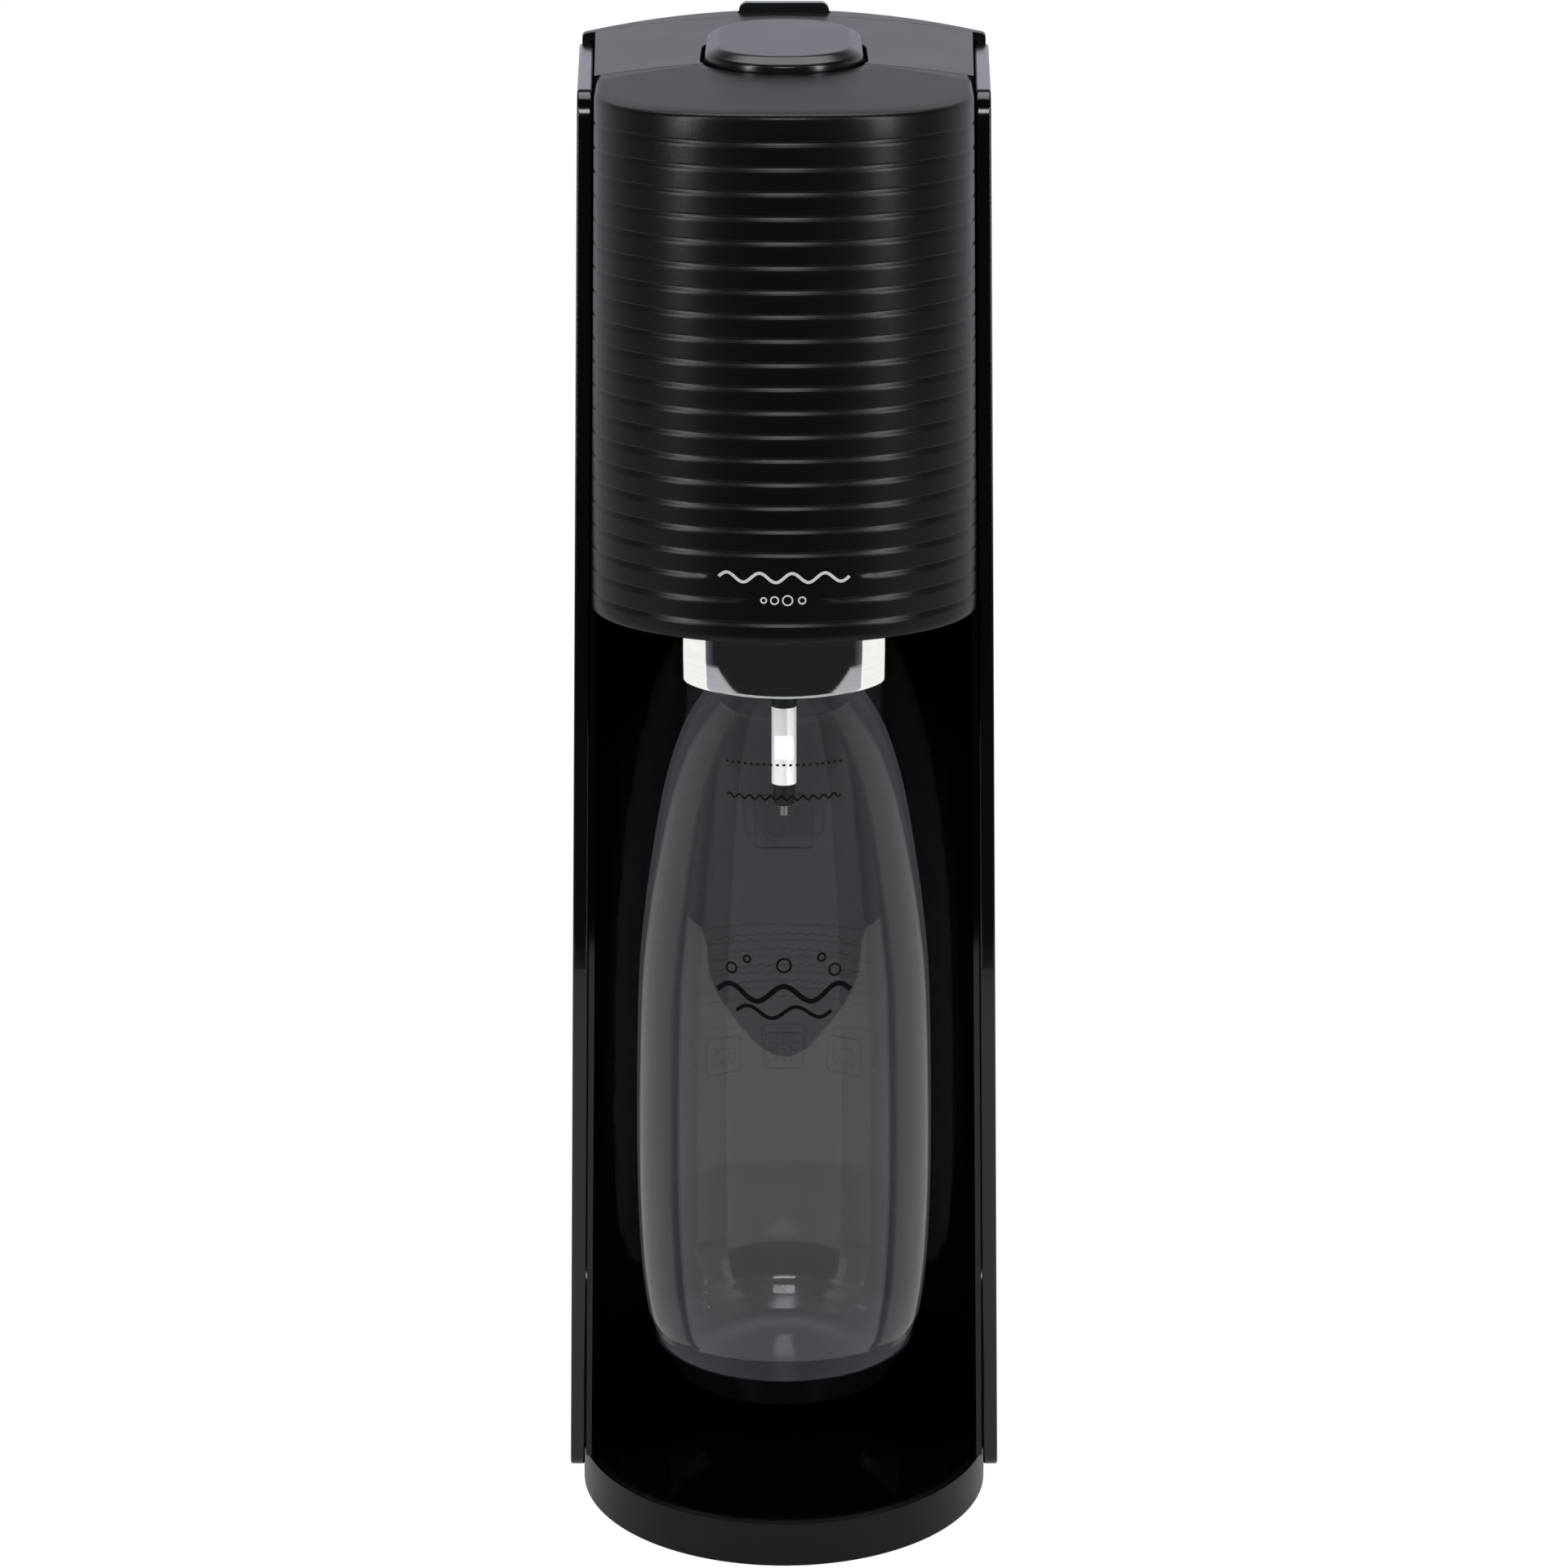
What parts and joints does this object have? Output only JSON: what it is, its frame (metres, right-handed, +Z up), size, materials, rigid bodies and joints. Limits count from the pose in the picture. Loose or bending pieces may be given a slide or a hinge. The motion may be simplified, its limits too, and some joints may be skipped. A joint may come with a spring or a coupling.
{
  "type": "soda carbonator",
  "caption": "Tall slim countertop soda carbonator: ribbed round head with press button, tilting bottle holder, clear bottle in an open bay, drip tray and rear gas cylinder bay.",
  "frame": {"origin": "middle of the footprint, on the surface the feet rest on", "axes": "+Z up, the front with the bottle towards -Y, +X to the object's left as seen from behind"},
  "size_m": [0.1402, 0.19, 0.4393],
  "materials": {
    "satin_black": "satin",
    "gloss_black": "high gloss",
    "panel_black": "gloss",
    "frame_grey": "moulded",
    "steel_band": "polished",
    "steel_pin": "turned",
    "zinc_screw": "zinc plated",
    "spring_steel": "drawn",
    "brass": "machined",
    "cylinder_paint": "satin",
    "lever_plastic": "moulded",
    "rubber": "soft",
    "hose_black": "smooth",
    "nozzle_white": "gloss",
    "nozzle_dark": "gloss",
    "clear_bottle": "clear plastic",
    "cup_black": "satin"
  },
  "bodies": {
    "housing": {"base_plinth": "satin_black", "base_plate": "frame_grey", "rubber_feet": "rubber", "base_screws": "zinc_screw", "side_panel_right": "panel_black", "side_panel_left": "panel_black", "bay_liner": "gloss_black", "head_front_shell": "satin_black", "head_bottom_plate": "satin_black", "shell_screws": "zinc_screw", "top_cover": "satin_black", "column_right": "frame_grey", "column_left": "frame_grey", "head_deck": "frame_grey", "deck_screws": "zinc_screw", "cylinder_cradle": "frame_grey", "cylinder_body": "cylinder_paint", "cylinder_valve": "brass", "cylinder_dock": "frame_grey", "handle_lever_pins": "steel_pin", "manifold_block": "brass", "relief_valve": "brass", "gas_hose": "hose_black", "hose_fittings": "brass", "lever_pivot_pin": "steel_pin", "holder_pivot_pins": "steel_pin", "button_guide": "frame_grey", "button_spring": "spring_steel"},
    "tray": {"drip_tray": "gloss_black"},
    "cover": {"rear_cover": "satin_black"},
    "latch": {"cover_latch": "gloss_black"},
    "handle": {"cylinder_lever": "lever_plastic"},
    "button": {"button_cap": "satin_black", "button_stem": "frame_grey"},
    "lever": {"press_lever": "frame_grey"},
    "pin": {"valve_pin": "steel_pin"},
    "holder": {"holder_cup": "frame_grey", "collar_ring": "steel_band", "grip_fingers": "frame_grey", "bottle_seal": "rubber", "nozzle_tube": "nozzle_dark", "nozzle_sleeve": "nozzle_white", "nozzle_end": "nozzle_dark", "nozzle_tip": "steel_pin", "feed_pipe": "steel_pin"},
    "bottle": {"bottle_body": "clear_bottle", "bottle_base_cup": "cup_black"}
  },
  "joints": [
    {"name": "tray_lift", "type": "slide", "parent": "housing", "child": "tray", "axis": [0, 0, 1], "range_m": [0, 0.012]},
    {"name": "rear_cover_pull", "type": "slide", "parent": "housing", "child": "cover", "axis": [0, 1, 0], "range_m": [0, 0.08]},
    {"name": "cover_latch_press", "type": "slide", "parent": "cover", "child": "latch", "axis": [0, 0, -1], "range_m": [0, 0.002], "stiffness_N_per_m": 400, "springref_m": -0.001},
    {"name": "cylinder_lever_lift", "type": "hinge", "parent": "housing", "child": "handle", "pos_m": [0, 0.057, 0.361], "axis": [1, 0, 0], "range_deg": [0, 85]},
    {"name": "button_press", "type": "slide", "parent": "housing", "child": "button", "axis": [0, 0, -1], "range_m": [0, 0.005], "stiffness_N_per_m": 700, "springref_m": -0.003, "deforming": ["button_spring"]},
    {"name": "press_lever_swing", "type": "hinge", "parent": "housing", "child": "lever", "pos_m": [0, 0.078, 0.397], "axis": [1, 0, 0], "range_deg": [0, 3.5]},
    {"name": "valve_pin_push", "type": "slide", "parent": "housing", "child": "pin", "axis": [0, 0, -1], "range_m": [0, 0.0014]},
    {"name": "holder_tilt", "type": "hinge", "parent": "housing", "child": "holder", "pos_m": [0, 0.005, 0.3], "axis": [-1, 0, 0], "range_deg": [0, 15]},
    {"name": "bottle_drop", "type": "slide", "parent": "holder", "child": "bottle", "axis": [0, 0, -1], "range_m": [0, 0.012]}
  ],
  "couplings": [
    {"joint": "press_lever_swing", "follows": "button_press", "rad_per_m": 11.628},
    {"joint": "valve_pin_push", "follows": "button_press", "ratio": 0.2442}
  ]
}
